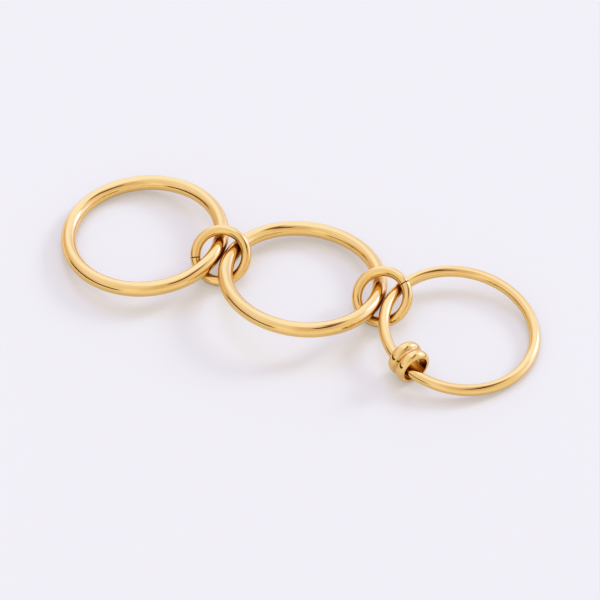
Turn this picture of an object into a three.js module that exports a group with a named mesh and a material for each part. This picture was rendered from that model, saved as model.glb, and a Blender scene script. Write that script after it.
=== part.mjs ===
// Three finger rings of round polished gold wire, coupled in a row by two small closed links,
// with a two-lobed bead running on the slimmer third ring. Worn, the rings stack on one finger.
// Here the set lies on a table at Z = 0, with the row along X. Millimetres and degrees.
import * as THREE from "three";

// Bands
const fingerBore = 17.3; // inside diameter of all three bands
const bandWire = 1.86; // wire of the left and middle bands
const slimWire = 1.4; // wire of the right band

// Links
const linkBore = 5.1;
const linkWire = 1.3;
const seamWidth = 0.14; // hairline where the wire's two ends meet
const seamDepth = 0.07;

// Bead
const beadBore = 3.3;
const beadLength = 3.0;
const lobeWidth = 1.4; // along the bead; the groove's floor is left between the two lobes
const lobeHeight = 0.64; // from the bore to the crown of a lobe
const grooveDepth = 0.3; // from the crown of a lobe down to the groove's floor
const mouthRound = 0.1; // softened edge of the bore's mouth

// How the set lies
const clearance = 0.05; // left between pieces that touch
const farSideLift = 0.32; // the links hold the middle band's far side this far off the table
const beadSeat = 243.4; // where the bead sits on the right band, counted round from +X
const beadSkew = -8.3; // turn of the bead's bore away from the wire's own direction
const beadSlump = 0.8; // how much of its play on the wire the bead has slipped inwards

// Slope of each round piece, the compass side that lies lowest, and for a link how far its centre is
// from the point where its two bands touch, and the side that its seam is on
const lie = {
  left_band: { tilt: 4.98, lowSide: 164.7 },
  middle_band: { tilt: 7.51, lowSide: 86.8 },
  right_band: { tilt: 6.17, lowSide: -3.9 },
  left_link: { tilt: 36.1, lowSide: -81.3, along: -0.23, across: -0.26, seamSide: 208 },
  right_link: { tilt: 34.8, lowSide: -95.8, along: -0.38, across: 0.88, seamSide: 51 },
};

// Fineness of the faceted surfaces
const bandSteps = 64;
const bandSides = 16;
const linkSteps = 40;
const linkSides = 14;
const beadSteps = 32;
const lobeSteps = 10;

const settlingPasses = 300;
const nearestTries = 24;
const nearestRounds = 30;

const polishedGold = { color: 0xe8bd6c, roughness: 0.12, metalness: 1 };
const radians = THREE.MathUtils.degToRad;

// A round piece: a circle of wire, known by its centre, its normal and the radius of its centreline.
function roundPiece(name, bore, wire) {
  const { tilt, lowSide } = lie[name];
  const normal = new THREE.Vector3().setFromSphericalCoords(1, radians(tilt), 0);
  normal.set(normal.z * Math.cos(radians(lowSide)), normal.z * Math.sin(radians(lowSide)), normal.y);
  return { name, wire, radius: (bore + wire) / 2, normal, centre: new THREE.Vector3() };
}

// The lowest point of a piece's centreline.
function lowestPoint(piece) {
  const down = new THREE.Vector3(0, 0, -1).projectOnPlane(piece.normal);
  return down.setLength(piece.radius).add(piece.centre);
}

function layOnTable(piece, x, y, lift = 0) {
  piece.centre.set(x, y, 0);
  piece.centre.z = piece.wire / 2 - lowestPoint(piece).z + lift;
}

// Distance between the centres of two bands that touch end to end.
function pitch(a, b) {
  return a.radius + a.wire / 2 + clearance + b.wire / 2 + b.radius;
}

// The point of a piece's centreline that lies nearest to a given point.
function nearestOn(piece, point) {
  const flat = point.clone().sub(piece.centre).projectOnPlane(piece.normal);
  return flat.setLength(piece.radius).add(piece.centre);
}

// The two points where the centrelines of two pieces come closest.
function closestPoints(a, b) {
  let best = null;
  for (let i = 0; i < nearestTries; i++) {
    const angle = (2 * Math.PI * i) / nearestTries;
    const start = new THREE.Vector3(Math.cos(angle), Math.sin(angle), 0).multiplyScalar(a.radius);
    const onA = nearestOn(a, start.add(a.centre));
    const gap = onA.distanceTo(nearestOn(b, onA));
    if (!best || gap < best.gap) best = { gap, onA };
  }
  let onA = best.onA;
  let onB = nearestOn(b, onA);
  for (let i = 0; i < nearestRounds; i++) {
    onA = nearestOn(a, onB);
    onB = nearestOn(b, onA);
  }
  return [onA, onB];
}

// Moves a piece so that its point at `at` gives way by `push`, half by sliding and half by turning.
function giveWay(piece, at, push) {
  const arm = at.clone().sub(piece.centre);
  const turn = arm.clone().cross(push).divideScalar(2 * arm.lengthSq());
  const angle = turn.length();
  if (angle > 0) piece.normal.applyAxisAngle(turn.normalize(), angle);
  piece.centre.addScaledVector(push, 1 / 2);
}

// Eases two pieces apart where their wires come closer than the clearance.
function easeApart(a, b) {
  const [onA, onB] = closestPoints(a, b);
  const way = onB.clone().sub(onA);
  const lack = a.wire / 2 + b.wire / 2 + clearance - way.length();
  if (lack <= 0) return;
  way.setLength(lack / 2);
  giveWay(b, onB, way);
  giveWay(a, onA, way.clone().negate());
}

function liftOffTable(piece) {
  const lowest = lowestPoint(piece);
  const lack = piece.wire / 2 - lowest.z;
  if (lack > 0) giveWay(piece, lowest, new THREE.Vector3(0, 0, lack));
}

function settle(pieces, pairs) {
  for (let pass = 0; pass < settlingPasses; pass++) {
    for (const [a, b] of pairs) easeApart(a, b);
    for (const piece of pieces) liftOffTable(piece);
  }
}

// Lays the bands end to end along X and threads each link round the two bands that it couples.
function layOut() {
  const left = roundPiece("left_band", fingerBore, bandWire);
  const middle = roundPiece("middle_band", fingerBore, bandWire);
  const right = roundPiece("right_band", fingerBore, slimWire);
  const leftLink = roundPiece("left_link", linkBore, linkWire);
  const rightLink = roundPiece("right_link", linkBore, linkWire);
  const reach = middle.radius + (middle.wire + clearance) / 2;
  layOnTable(middle, 0, 0, farSideLift);
  layOnTable(left, -pitch(left, middle), 0);
  layOnTable(right, pitch(middle, right), 0);
  layOnTable(leftLink, -reach + lie.left_link.along, lie.left_link.across);
  layOnTable(rightLink, reach + lie.right_link.along, lie.right_link.across);
  const pieces = [left, middle, right, leftLink, rightLink];
  settle(pieces, [
    [left, middle],
    [middle, right],
    [left, leftLink],
    [middle, leftLink],
    [middle, rightLink],
    [right, rightLink],
  ]);
  return { bands: [left, middle, right], links: [leftLink, rightLink], beadCarrier: right };
}

function namedMesh(name, geometry) {
  const mesh = new THREE.Mesh(geometry, new THREE.MeshStandardMaterial(polishedGold));
  mesh.name = name;
  return mesh;
}

// Turns a mesh made round Z, with its first section on +X, into the plane of its piece.
function place(mesh, piece, firstSide = 0) {
  const angle = radians(firstSide);
  const first = new THREE.Vector3(Math.cos(angle), Math.sin(angle), 0).projectOnPlane(piece.normal);
  first.normalize();
  const second = piece.normal.clone().cross(first);
  mesh.quaternion.setFromRotationMatrix(new THREE.Matrix4().makeBasis(first, second, piece.normal));
  mesh.position.copy(piece.centre);
  return mesh;
}

function bandMesh(piece) {
  const geometry = new THREE.TorusGeometry(piece.radius, piece.wire / 2, bandSides, bandSteps);
  return place(namedMesh(piece.name, geometry), piece);
}

// A link is a ring of wire whose sections shrink into a fine groove at the seam, its first section.
function linkMesh(piece) {
  const geometry = new THREE.TorusGeometry(piece.radius, piece.wire / 2, linkSides, linkSteps);
  const { position, uv } = geometry.attributes;
  const seamTurn = seamWidth / 2 / piece.radius;
  for (let i = 0; i < position.count; i++) {
    const step = Math.round(uv.getX(i) * linkSteps) % linkSteps;
    const turn = seamAngle(step, seamTurn);
    const radius = piece.wire / 2 - (step === 0 ? seamDepth : 0);
    const round = 2 * Math.PI * uv.getY(i);
    const out = piece.radius + radius * Math.cos(round);
    position.setXYZ(i, out * Math.cos(turn), out * Math.sin(turn), radius * Math.sin(round));
  }
  return place(namedMesh(piece.name, geometry), piece, lie[piece.name].seamSide);
}

// Sections next to the seam stand at its two lips, and the others are spread evenly between them.
function seamAngle(step, seamTurn) {
  if (step === 0) return 0;
  const share = (step - 1) / (linkSteps - 2);
  return seamTurn + share * (2 * Math.PI - 2 * seamTurn);
}

// Half of the bead's outline: one rounded lobe, from the bead's end to the edge of the groove's floor.
function lobeOutline() {
  const foot = beadBore / 2 + mouthRound;
  const rise = lobeHeight - mouthRound;
  const floorTurn = Math.asin(1 - grooveDepth / rise);
  const points = [];
  for (let i = 0; i <= lobeSteps; i++) {
    const turn = Math.PI + (i / lobeSteps) * (floorTurn - Math.PI);
    const along = (lobeWidth * (1 + Math.cos(turn)) - beadLength) / 2;
    points.push(new THREE.Vector2(foot + rise * Math.sin(turn), along));
  }
  return points;
}

// The bead's section: two rounded lobes and a groove outside, a straight bore with softened mouths inside.
function beadProfile() {
  const lobe = lobeOutline();
  const bore = beadBore / 2;
  const mouth = beadLength / 2 - mouthRound;
  const points = [...lobe];
  for (const { x, y } of [...lobe].reverse()) points.push(new THREE.Vector2(x, -y));
  points.push(new THREE.Vector2(bore, mouth));
  points.push(new THREE.Vector2(bore, -mouth));
  points.push(lobe[0].clone());
  return points;
}

// The bead hangs on the right band's wire and stands with its lobes on the table.
function beadMesh(carrier) {
  const geometry = new THREE.LatheGeometry(beadProfile(), beadSteps);
  geometry.rotateZ(-Math.PI / 2);
  const seat = radians(beadSeat);
  const outward = new THREE.Vector3(Math.cos(seat), Math.sin(seat), 0);
  const onWire = nearestOn(carrier, outward.clone().multiplyScalar(carrier.radius).add(carrier.centre));
  const play = (beadBore - slimWire) / 2 - clearance;
  const mesh = namedMesh("slider_bead", geometry);
  mesh.position.copy(onWire).addScaledVector(outward, -beadSlump * play);
  mesh.position.z = beadBore / 2 + lobeHeight;
  mesh.rotation.z = seat + Math.PI / 2 + radians(beadSkew);
  return mesh;
}

const { bands, links, beadCarrier } = layOut();
const set = new THREE.Group();
set.add(...bands.map(bandMesh), ...links.map(linkMesh), beadMesh(beadCarrier));

// The origin is under the middle of the set, on the table.
const extent = new THREE.Box3().setFromObject(set, true);
const middle = extent.getCenter(new THREE.Vector3());
for (const piece of set.children) piece.position.sub(new THREE.Vector3(middle.x, middle.y, extent.min.z));

export default set;
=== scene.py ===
import math

import bpy
import numpy as np
from mathutils import Matrix, Vector


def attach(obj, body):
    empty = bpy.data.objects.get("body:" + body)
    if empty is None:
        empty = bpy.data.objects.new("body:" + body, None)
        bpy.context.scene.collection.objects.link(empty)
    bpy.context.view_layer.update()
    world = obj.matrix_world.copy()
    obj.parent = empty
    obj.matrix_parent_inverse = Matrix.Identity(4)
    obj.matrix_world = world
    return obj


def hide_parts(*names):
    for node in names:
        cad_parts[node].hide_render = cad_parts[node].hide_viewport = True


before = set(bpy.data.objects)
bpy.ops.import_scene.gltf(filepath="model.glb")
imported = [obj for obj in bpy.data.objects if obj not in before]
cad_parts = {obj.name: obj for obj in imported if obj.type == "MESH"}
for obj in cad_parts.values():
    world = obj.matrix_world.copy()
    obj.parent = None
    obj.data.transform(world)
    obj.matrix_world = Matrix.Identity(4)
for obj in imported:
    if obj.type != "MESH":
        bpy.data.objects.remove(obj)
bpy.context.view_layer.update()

MM = 0.001
HALF_TURN = 180.0

# The photograph's view: how high the camera looks down from, from which side, and how far away it is
VIEW_ELEVATION = 47.86
VIEW_HEADING = 109.66
VIEW_ROLL = 1.93
VIEW_DISTANCE_MM = 491.9
VIEW_TARGET_MM = (0.70, -1.345, 0.0)
SENSOR_MM = 36.0
LENS_MM = 238.56
NEAREST_SEEN_MM = 10.0

# A round node whose axis rises by no more than this share of its length lies on its side
LEVEL_AXIS = 0.1

# Fineness of the polished surfaces
BAND_STEPS = 320
BAND_SIDES = 64
LINK_STEPS = 240
LINK_SIDES = 56
BEAD_STEPS = 200
LOBE_STEPS = 56
MOUTH_STEPS = 8

# The links' seam, a V-shaped cut: how much of its depth is left at each share of its half width
SEAM_HALF_WIDTH_MM = 0.055
SEAM_DEPTH_MM = 0.32
SEAM_SECTION = {0.0: 1.0, 0.25: 0.8, 0.6: 0.35, 0.85: 0.1, 1.0: 0.03, 1.4: 0.0, 2.0: 0.0, 4.0: 0.0}

# The bead: lobe width is along the bead, lobe height from the bore to the crown, and the groove is as
# deep below the crown; the rounds soften the bore's mouth and the corner of the groove's floor
BEAD_LENGTH_MM = 3.0
BEAD_BORE_MM = 3.3
LOBE_WIDTH_MM = 1.4
LOBE_HEIGHT_MM = 0.64
GROOVE_DEPTH_MM = 0.3
MOUTH_ROUND_MM = 0.1
FLOOR_ROUND_MM = 0.08

# Gold plate. Polishing leaves long shallow waves, and from wave to wave the gold runs between its two
# tints and its two roughnesses. The hairline marks are drawn coarser than real ones and too fine to see
# one by one: they soften the reflections.
GOLD_TINTS = ("#F1D18F", "#F1D597")
GOLD_ROUGHNESS = (0.04, 0.09)
WAVE_LENGTH_MM = 1.5
WAVE_RANGE = (0.3, 0.7)
MARK_WIDTH_MM = 0.05
MARK_DEPTH_MM = 0.002
MARK_STRENGTH = 0.08

# Painted shade: in crevices the gold is painted a darker tint, and it is made duller. For each size of
# crevice:
# how far round a point is looked, and how open it is there where the painted shade starts to fade and
# where it is gone
CREVICE_PAINTED_SHADE = "#B47A22"
CREVICE_ROUGHNESS = 0.35
BORES_AND_CORNERS = {"width_mm": 2.2, "shut": 0.2, "open": 0.55}
FINE_GROOVES = {"width_mm": 0.6, "shut": 0.62, "open": 0.95}
CREVICE_SAMPLES = 8

# Satin studio card: its grey, the even glow that lifts it like a light table, and its fibre
TABLE = "#A2A2A2"
TABLE_ROUGHNESS = 0.3
TABLE_GLOW = "#FFF9F0"
TABLE_GLOW_STRENGTH = 0.30
TABLE_SIDE_M = 6.0
FIBRE_LENGTH_MM = 0.8
FIBRE_DEPTH_MM = 0.02
FIBRE_STRENGTH = 0.05

# The studio's light as linear red, green and blue: a tent and its panels. Each panel has the heading and
# elevation of its middle, half its width and height, and how far its edges fade, all in degrees.
TENT = (0.655, 0.65, 0.66)
PANELS = {
    "ceiling": {
        "heading": 0.0, "half_width": 180.0, "soft_x": 1.0,
        "elevation": 90.0, "half_height": 8.0, "soft_y": 22.0, "light": (0.675, 0.695, 0.83),
    },
    "wall_on_the_left": {
        "heading": 190.0, "half_width": 25.0, "soft_x": 25.0,
        "elevation": 60.0, "half_height": 15.0, "soft_y": 20.0, "light": (0.69, 0.70, 0.90),
    },
    "white_backdrop": {
        "heading": 106.0, "half_width": 24.0, "soft_x": 38.0,
        "elevation": 45.0, "half_height": 34.0, "soft_y": 30.0, "light": (0.835, 0.84, 1.21),
    },
    "shade_on_the_left": {
        "heading": 185.0, "half_width": 32.0, "soft_x": 18.0,
        "elevation": 0.0, "half_height": 18.0, "soft_y": 22.0, "light": (0.59, 0.52, 0.53),
    },
    "shade_behind_the_key": {
        "heading": 80.0, "half_width": 16.0, "soft_x": 12.0,
        "elevation": 0.0, "half_height": 25.0, "soft_y": 25.0, "light": (0.66, 0.69, 0.98),
    },
    "white_card_beside_the_camera": {
        "heading": 270.0, "half_width": 5.0, "soft_x": 14.0,
        "elevation": 25.0, "half_height": 10.0, "soft_y": 15.0, "light": (0.74, 0.71, 0.80),
    },
    "shade_over_the_camera": {
        "heading": 320.0, "half_width": 16.0, "soft_x": 34.0,
        "elevation": 55.0, "half_height": 18.0, "soft_y": 16.0, "light": (0.58, 0.52, 0.50),
    },
    "glow_of_the_key": {
        "heading": 46.0, "half_width": 12.0, "soft_x": 32.0,
        "elevation": 4.0, "half_height": 20.0, "soft_y": 22.0, "light": (0.82, 0.86, 1.52),
    },
    "key_softbox": {
        "heading": 54.0, "half_width": 4.0, "soft_x": 8.0,
        "elevation": 29.0, "half_height": 6.0, "soft_y": 9.0, "light": (1.6, 1.8, 3.0),
    },
    "grey_bar_overhead": {
        "heading": 20.0, "half_width": 34.0, "soft_x": 34.0,
        "elevation": 63.5, "half_height": 2.5, "soft_y": 7.5, "light": (0.31, 0.20, 0.15),
    },
    "dark_end_of_the_bar": {
        "heading": 350.0, "half_width": 18.0, "soft_x": 12.0,
        "elevation": 62.0, "half_height": 2.5, "soft_y": 5.0, "light": (0.08, 0.04, 0.02),
    },
    "dark_gap_on_the_left": {
        "heading": 222.0, "half_width": 30.0, "soft_x": 14.0,
        "elevation": 1.5, "half_height": 7.5, "soft_y": 4.5, "light": (0.04, 0.02, 0.01),
    },
}

# The key lamp behind the softbox, whose shadows lie on the table: its compass side, its height and how
# wide it looks from the table, in degrees, and its strength and colour
KEY_HEADING = 54.0
KEY_ELEVATION = 26.0
KEY_WIDTH = 16.0
KEY_STRENGTH = 1.2
KEY_LIGHT = (0.85, 0.92, 1.0)

# The camera's contrast: how bright each share of the light is shown, with the brightest parts held back.
# It goes on the fourth of the view's curves, which acts on all colours.
ALL_COLOURS = 3
CONTRAST = {
    0.0: 0.0,
    0.02: 0.0104,
    0.05: 0.034,
    0.10: 0.084,
    0.18: 0.18,
    0.30: 0.35,
    0.45: 0.592,
    0.60: 0.86,
    0.70: 0.965,
    0.85: 0.993,
    1.0: 1.0,
}


def linear(hex_colour):
    """An sRGB hex value as linear red, green, blue and alpha."""
    parts = [int(hex_colour[i : i + 2], 16) / 255 for i in (1, 3, 5)]
    return (*(p / 12.92 if p <= 0.04045 else ((p + 0.055) / 1.055) ** 2.4 for p in parts), 1.0)


def add_node(tree, kind, settings=None, links=None):
    """Adds a node, sets its properties and input values, and links its inputs."""
    node = tree.nodes.new(kind)
    for name, value in (settings or {}).items():
        if isinstance(name, int) or name in node.inputs:
            node.inputs[name].default_value = value
        else:
            setattr(node, name, value)
    for name, source in (links or {}).items():
        tree.links.new(source, node.inputs[name])
    return node


def new_material(name):
    material = bpy.data.materials.new(name)
    material.use_nodes = True
    material.node_tree.nodes.clear()
    return material, material.node_tree


def share_out_of_shade(tree, crevice):
    """One where the point is open, fading to none inside crevices of the given width: the share left out
    of the painted shade.
    """
    near = {"samples": CREVICE_SAMPLES, "Distance": crevice["width_mm"] * MM}
    openness = add_node(tree, "ShaderNodeAmbientOcclusion", near).outputs["AO"]
    fade = {"From Min": crevice["shut"], "From Max": crevice["open"]}
    return add_node(tree, "ShaderNodeMapRange", fade, {"Value": openness}).outputs["Result"]


def polished_gold():
    """Gold plate polished to a mirror: crisp reflections, faint buffing marks that soften them, and
    painted shade in crevices.
    """
    material, tree = new_material("polished_gold_plate")
    place = add_node(tree, "ShaderNodeTexCoord").outputs["Object"]
    wavy = {"Scale": 1 / (WAVE_LENGTH_MM * MM), "Detail": 1.0}
    waves = add_node(tree, "ShaderNodeTexNoise", wavy, {"Vector": place}).outputs["Fac"]
    hairline = {"Scale": 1 / (MARK_WIDTH_MM * MM), "Detail": 3.0}
    marks = add_node(tree, "ShaderNodeTexNoise", hairline, {"Vector": place}).outputs["Fac"]
    relief = {"Strength": MARK_STRENGTH, "Distance": MARK_DEPTH_MM * MM}
    normal = add_node(tree, "ShaderNodeBump", relief, {"Height": marks}).outputs["Normal"]
    tints = {"data_type": "RGBA", 6: linear(GOLD_TINTS[0]), 7: linear(GOLD_TINTS[1])}
    tint = add_node(tree, "ShaderNodeMix", tints, {"Factor": waves}).outputs[2]
    gloss = {
        "From Min": WAVE_RANGE[0],
        "From Max": WAVE_RANGE[1],
        "To Min": GOLD_ROUGHNESS[0],
        "To Max": GOLD_ROUGHNESS[1],
    }
    rough = add_node(tree, "ShaderNodeMapRange", gloss, {"Value": waves}).outputs["Result"]
    # Painted shade: inside the bores, between the wires and in the bead's groove the gold is painted
    # darker, and it is made duller.
    wide = share_out_of_shade(tree, BORES_AND_CORNERS)
    fine = share_out_of_shade(tree, FINE_GROOVES)
    unshaded = add_node(tree, "ShaderNodeMath", {"operation": "MULTIPLY"}, {0: wide, 1: fine}).outputs[0]
    dark = {"data_type": "RGBA", 6: linear(CREVICE_PAINTED_SHADE)}
    tint = add_node(tree, "ShaderNodeMix", dark, {"Factor": unshaded, 7: tint}).outputs[2]
    dull = {2: CREVICE_ROUGHNESS}
    rough = add_node(tree, "ShaderNodeMix", dull, {"Factor": unshaded, 3: rough}).outputs[0]
    surface = {"Base Color": tint, "Roughness": rough, "Normal": normal}
    shader = add_node(tree, "ShaderNodeBsdfPrincipled", {"Metallic": 1.0}, surface)
    add_node(tree, "ShaderNodeOutputMaterial", {}, {"Surface": shader.outputs["BSDF"]})
    return material


def studio_card():
    """Satin studio card: even and pale, with the faint fibre that keeps it from looking like plastic."""
    material, tree = new_material("satin_studio_card")
    place = add_node(tree, "ShaderNodeTexCoord").outputs["Object"]
    fibrous = {"Scale": 1 / (FIBRE_LENGTH_MM * MM), "Detail": 4.0}
    fibre = add_node(tree, "ShaderNodeTexNoise", fibrous, {"Vector": place}).outputs["Fac"]
    relief = {"Strength": FIBRE_STRENGTH, "Distance": FIBRE_DEPTH_MM * MM}
    normal = add_node(tree, "ShaderNodeBump", relief, {"Height": fibre}).outputs["Normal"]
    card = {
        "Base Color": linear(TABLE),
        "Roughness": TABLE_ROUGHNESS,
        "Emission Color": linear(TABLE_GLOW),
        "Emission Strength": TABLE_GLOW_STRENGTH,
    }
    shader = add_node(tree, "ShaderNodeBsdfPrincipled", card, {"Normal": normal})
    add_node(tree, "ShaderNodeOutputMaterial", {}, {"Surface": shader.outputs["BSDF"]})
    return material


def corners_of(node):
    """The corners of a CAD node, in metres, as an array."""
    mesh = bpy.data.objects[node].data
    flat = np.empty(len(mesh.vertices) * 3)
    mesh.vertices.foreach_get("co", flat)
    return flat.reshape(-1, 3)


def measured_circle(node):
    """Centre, first side, second side and axis of a round node, its centreline radius and its wire."""
    points = corners_of(node)
    middle = points.mean(axis=0)
    _, _, axes = np.linalg.svd(points - middle, full_matrices=False)
    # The rings' axes are turned up, and the bead's, which lies level, to the right.
    upright = abs(axes[2][2]) > LEVEL_AXIS
    axis = axes[2] * np.sign(axes[2][2] if upright else axes[2][0])
    first = np.cross([0.0, 1.0, 0.0], axis)
    first /= np.linalg.norm(first)
    second = np.cross(axis, first)
    across = np.stack([(points - middle) @ first, (points - middle) @ second], axis=1)
    rows = np.column_stack([2 * across, np.ones(len(across))])
    (x, y, _), *_ = np.linalg.lstsq(rows, (across**2).sum(axis=1), rcond=None)
    heights = (points - middle) @ axis
    centre = middle + x * first + y * second + axis * (heights.max() + heights.min()) / 2
    reach = np.hypot(across[:, 0] - x, across[:, 1] - y)
    return {
        "centre": centre,
        "sides": (first, second, axis),
        "radius": (reach.max() + reach.min()) / 2,
        "wire": heights.max() - heights.min(),
    }


def closed_surface(name, rings, material):
    """A closed smooth surface through equal rings of points, the last ring joined to the first."""
    count, sides, _ = rings.shape
    around = np.arange(count)[:, None]
    across = np.arange(sides)[None, :]
    ahead, beside = (around + 1) % count, (across + 1) % sides
    corners = [(around, across), (ahead, across), (ahead, beside), (around, beside)]
    numbers = [ring * sides + side for ring, side in corners]
    faces = np.stack(np.broadcast_arrays(*numbers), axis=-1).reshape(-1, 4)
    mesh = bpy.data.meshes.new(name)
    mesh.from_pydata(rings.reshape(-1, 3).tolist(), [], faces.tolist())
    mesh.materials.append(material)
    mesh.shade_smooth()
    mesh.update()
    piece = bpy.data.objects.new(name, mesh)
    bpy.context.scene.collection.objects.link(piece)
    return piece


def wire_ring(circle, turns, thinning, sides):
    """Sections of round wire along a circle, at the given turns and each thinned by a given depth."""
    first, second, axis = circle["sides"]
    around = np.linspace(0, 2 * math.pi, sides, endpoint=False)
    outward = np.cos(turns)[:, None] * first + np.sin(turns)[:, None] * second
    radius = (circle["wire"] / 2 - thinning)[:, None]
    reach = circle["radius"] + radius * np.cos(around)
    rise = radius * np.sin(around)
    return circle["centre"] + reach[..., None] * outward[:, None, :] + rise[..., None] * axis


def dress(piece, node):
    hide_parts(node)
    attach(piece, "root")


def make_band(node, gold):
    circle = measured_circle(node)
    turns = np.linspace(0, 2 * math.pi, BAND_STEPS, endpoint=False)
    rings = wire_ring(circle, turns, np.zeros(BAND_STEPS), BAND_SIDES)
    dress(closed_surface(node + "_polished", rings, gold), node)


def seam_turn(node, circle):
    """Where round its circle a link's wire ends meet: its solid is thinnest there."""
    first, second, axis = circle["sides"]
    away = corners_of(node) - circle["centre"]
    x, y, z = away @ first, away @ second, away @ axis
    thin = np.argmin(np.hypot(np.hypot(x, y) - circle["radius"], z))
    return math.atan2(y[thin], x[thin])


def make_link(node, gold):
    """A link of bent wire, whose two ends meet in a fine V-shaped seam."""
    circle = measured_circle(node)
    half = SEAM_HALF_WIDTH_MM * MM / circle["radius"]
    near = half * np.array(list(SEAM_SECTION.keys()))
    depth = SEAM_DEPTH_MM * MM * np.array(list(SEAM_SECTION.values()))
    rest = np.linspace(near[-1], 2 * math.pi - near[-1], LINK_STEPS)[1:-1]
    turns = np.concatenate([near, rest, 2 * math.pi - near[:0:-1]]) + seam_turn(node, circle)
    thinning = np.concatenate([depth, np.zeros(len(rest)), depth[:0:-1]])
    dress(closed_surface(node + "_polished", wire_ring(circle, turns, thinning, LINK_SIDES), gold), node)


def lobe_outline():
    """Half of the bead's outline: one rounded lobe, then the groove's floor with a softened corner."""
    foot = BEAD_BORE_MM / 2 + MOUTH_ROUND_MM
    rise = LOBE_HEIGHT_MM - MOUTH_ROUND_MM
    turns = np.linspace(math.pi, 0, LOBE_STEPS)
    away = foot + rise * np.sin(turns)
    along = (LOBE_WIDTH_MM * (1 + np.cos(turns)) - BEAD_LENGTH_MM) / 2
    floor = BEAD_BORE_MM / 2 + LOBE_HEIGHT_MM - GROOVE_DEPTH_MM
    inner = turns < math.pi / 2
    lift = (away[inner] - floor) / FLOOR_ROUND_MM
    away[inner] = floor + FLOOR_ROUND_MM * np.where(lift > 1, lift, np.exp(np.minimum(lift, 1) - 1))
    middle = [[away[-1], along[-1] / 2], [away[-1], 0.0]]
    return np.concatenate([np.column_stack([away, along]), middle])


def bead_section():
    """The bead's section as distances from its axis and along it: lobes and groove, then the bore."""
    flank = lobe_outline()
    bore = BEAD_BORE_MM / 2
    bend = np.linspace(0, math.pi / 2, MOUTH_STEPS)
    mouth = np.column_stack([
        bore + MOUTH_ROUND_MM * (1 - np.sin(bend)),
        BEAD_LENGTH_MM / 2 - MOUTH_ROUND_MM * (1 - np.cos(bend)),
    ])
    mirror = np.array([1.0, -1.0])
    return np.concatenate([flank, flank[-2::-1] * mirror, mouth[1:], mouth[:0:-1] * mirror]) * MM


def make_bead(node, gold):
    circle = measured_circle(node)
    first, second, axis = circle["sides"]
    section = bead_section()
    turns = np.linspace(0, 2 * math.pi, BEAD_STEPS, endpoint=False)
    outward = np.cos(turns)[:, None] * first + np.sin(turns)[:, None] * second
    away, along = section[:, 0][:, None], section[:, 1][:, None]
    rings = circle["centre"] + away * outward[:, None, :] + along * axis
    dress(closed_surface(node + "_polished", rings, gold), node)


def lay_table(card):
    bpy.ops.mesh.primitive_plane_add(size=TABLE_SIDE_M, location=(0, 0, 0))
    table = bpy.context.object
    table.name = "table"
    table.data.materials.append(card)


def aim(thing, place, target, roll=0.0):
    """Puts a camera or lamp at a place, turned towards a target."""
    ahead = (target - place).normalized()
    right = ahead.cross(Vector((0, 0, 1))).normalized()
    up = right.cross(ahead)
    x = right * math.cos(roll) + up * math.sin(roll)
    y = up * math.cos(roll) - right * math.sin(roll)
    thing.matrix_world = Matrix((x, y, -ahead)).transposed().to_4x4()
    thing.location = place


def set_camera():
    camera = bpy.data.objects.new("camera", bpy.data.cameras.new("camera"))
    camera.data.sensor_width = SENSOR_MM
    camera.data.lens = LENS_MM
    camera.data.clip_start = NEAREST_SEEN_MM * MM
    heading, elevation = math.radians(VIEW_HEADING), math.radians(VIEW_ELEVATION)
    level = math.cos(elevation)
    ahead = Vector((level * math.cos(heading), level * math.sin(heading), -math.sin(elevation)))
    target = Vector(VIEW_TARGET_MM) * MM
    aim(camera, target - ahead * VIEW_DISTANCE_MM * MM, target, math.radians(VIEW_ROLL))
    bpy.context.scene.collection.objects.link(camera)
    bpy.context.scene.camera = camera


def wedge(tree, angle, middle, half, soft):
    """One within `half` degrees of the middle angle, fading to none over the soft edge."""
    away = add_node(tree, "ShaderNodeMath", {"operation": "SUBTRACT", 1: middle}, {0: angle}).outputs[0]
    half_turns = {"operation": "WRAP", 1: HALF_TURN, 2: -HALF_TURN}
    turned = add_node(tree, "ShaderNodeMath", half_turns, {0: away}).outputs[0]
    apart = add_node(tree, "ShaderNodeMath", {"operation": "ABSOLUTE"}, {0: turned}).outputs[0]
    edge = {"interpolation_type": "SMOOTHSTEP", "From Min": half + soft, "From Max": half}
    return add_node(tree, "ShaderNodeMapRange", edge, {"Value": apart}).outputs["Result"]


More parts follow.
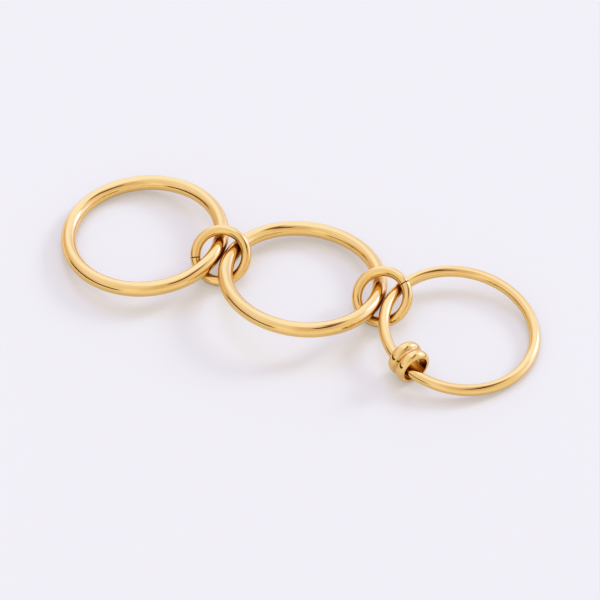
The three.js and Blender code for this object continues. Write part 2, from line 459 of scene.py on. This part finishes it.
def studio_surround():
    """A white tent with brighter and darker parts, as the polished metal shows them."""
    world = bpy.data.worlds.new("studio")
    bpy.context.scene.world = world
    world.use_nodes = True
    tree = world.node_tree
    tree.nodes.clear()
    place = add_node(tree, "ShaderNodeTexCoord").outputs["Generated"]
    parts = add_node(tree, "ShaderNodeSeparateXYZ", {}, {"Vector": place})
    degrees = {"operation": "DEGREES"}
    turn = add_node(
        tree, "ShaderNodeMath", {"operation": "ARCTAN2"}, {0: parts.outputs["Y"], 1: parts.outputs["X"]}
    )
    heading = add_node(tree, "ShaderNodeMath", degrees, {0: turn.outputs[0]}).outputs[0]
    rise = add_node(tree, "ShaderNodeMath", {"operation": "ARCSINE"}, {0: parts.outputs["Z"]})
    elevation = add_node(tree, "ShaderNodeMath", degrees, {0: rise.outputs[0]}).outputs[0]
    light = add_node(tree, "ShaderNodeRGB").outputs[0]
    light.default_value = (*TENT, 1.0)
    for name, panel in PANELS.items():
        side = wedge(tree, heading, panel["heading"], panel["half_width"], panel["soft_x"])
        level = wedge(tree, elevation, panel["elevation"], panel["half_height"], panel["soft_y"])
        both = {0: side, 1: level}
        share = add_node(tree, "ShaderNodeMath", {"operation": "MULTIPLY"}, both).outputs[0]
        mix = {"data_type": "RGBA", "label": name, 7: (*panel["light"], 1.0)}
        light = add_node(tree, "ShaderNodeMix", mix, {"Factor": share, 6: light}).outputs[2]
    tent = add_node(tree, "ShaderNodeBackground", {}, {"Color": light})
    add_node(tree, "ShaderNodeOutputWorld", {}, {"Surface": tent.outputs["Background"]})


def key_lamp():
    """The key light's even part: it gives the shadows, while the softbox gives the reflection."""
    lamp = bpy.data.objects.new("key_lamp", bpy.data.lights.new("key_lamp", "SUN"))
    lamp.data.energy = KEY_STRENGTH
    lamp.data.color = KEY_LIGHT
    lamp.data.angle = math.radians(KEY_WIDTH)
    heading, elevation = math.radians(KEY_HEADING), math.radians(KEY_ELEVATION)
    level = math.cos(elevation)
    place = Vector((level * math.cos(heading), level * math.sin(heading), math.sin(elevation)))
    aim(lamp, place, Vector((0, 0, 0)))
    lamp.visible_glossy = False
    bpy.context.scene.collection.objects.link(lamp)


def light_studio():
    studio_surround()
    key_lamp()
    view = bpy.context.scene.view_settings
    view.view_transform = "Standard"
    view.use_curve_mapping = True
    curve = view.curve_mapping.curves[ALL_COLOURS]
    for light, shown in CONTRAST.items():
        if 0.0 < light < 1.0:
            curve.points.new(light, shown)
    view.curve_mapping.update()


gold = polished_gold()
for band in ("left_band", "middle_band", "right_band"):
    make_band(band, gold)
for link in ("left_link", "right_link"):
    make_link(link, gold)
make_bead("slider_bead", gold)
lay_table(studio_card())
set_camera()
light_studio()
